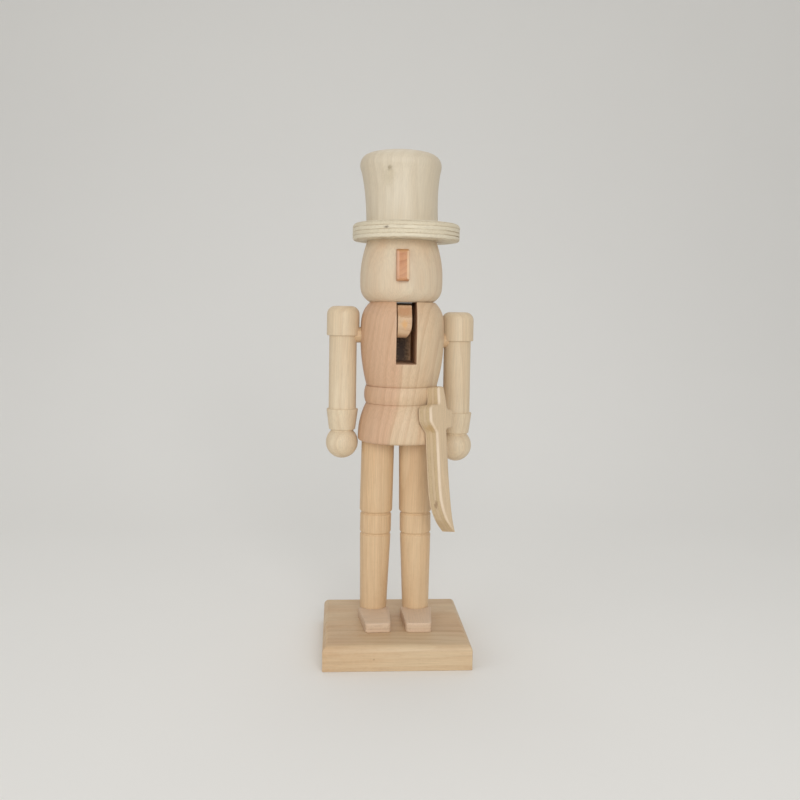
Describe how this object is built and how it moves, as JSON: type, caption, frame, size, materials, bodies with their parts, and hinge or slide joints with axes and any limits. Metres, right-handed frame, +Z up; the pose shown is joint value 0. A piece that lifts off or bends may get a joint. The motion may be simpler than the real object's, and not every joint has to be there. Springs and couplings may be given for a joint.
{
  "type": "nutcracker figure",
  "caption": "Unpainted turned-wood nutcracker figure in a top hat on a square base, with a sword at its hip and a lever down its back that opens the jaw.",
  "frame": {"origin": "centre of the base's underside, on the surface that the figure stands on", "axes": "+Z up; the figure faces -Y; the figure's own left side is +X"},
  "size_m": [0.0763, 0.0761, 0.2532],
  "materials": {
    "basswood": "sanded bare",
    "pale_basswood": "sanded bare",
    "plywood": "sanded bare, layers showing at the edges",
    "dark_wood": "sawn bare",
    "birch_dowel": "bare",
    "steel": "plain"
  },
  "bodies": {
    "figure": {"base_plate": "basswood", "right_foot": "plywood", "left_foot": "plywood", "right_leg": "basswood", "left_leg": "basswood", "body": "basswood", "head": "basswood", "nose": "dark_wood", "hat_brim": "plywood", "hat_crown": "pale_basswood", "right_arm": "pale_basswood", "left_arm": "pale_basswood", "sword": "plywood", "right_shoulder_dowel": "birch_dowel", "left_shoulder_dowel": "birch_dowel", "right_base_screw": "steel", "left_base_screw": "steel", "right_hip_dowel": "birch_dowel", "left_hip_dowel": "birch_dowel", "right_neck_dowel": "birch_dowel", "left_neck_dowel": "birch_dowel", "hat_dowel": "birch_dowel", "jaw_pin": "steel"},
    "jaw": {"jaw_lever": "basswood"}
  },
  "joints": [
    {"name": "jaw_pivot", "type": "hinge", "parent": "figure", "child": "jaw", "pos_m": [0.0038, 0.0225, 0.16753], "axis": [1, 0, 0], "range_deg": [0, 26]}
  ]
}
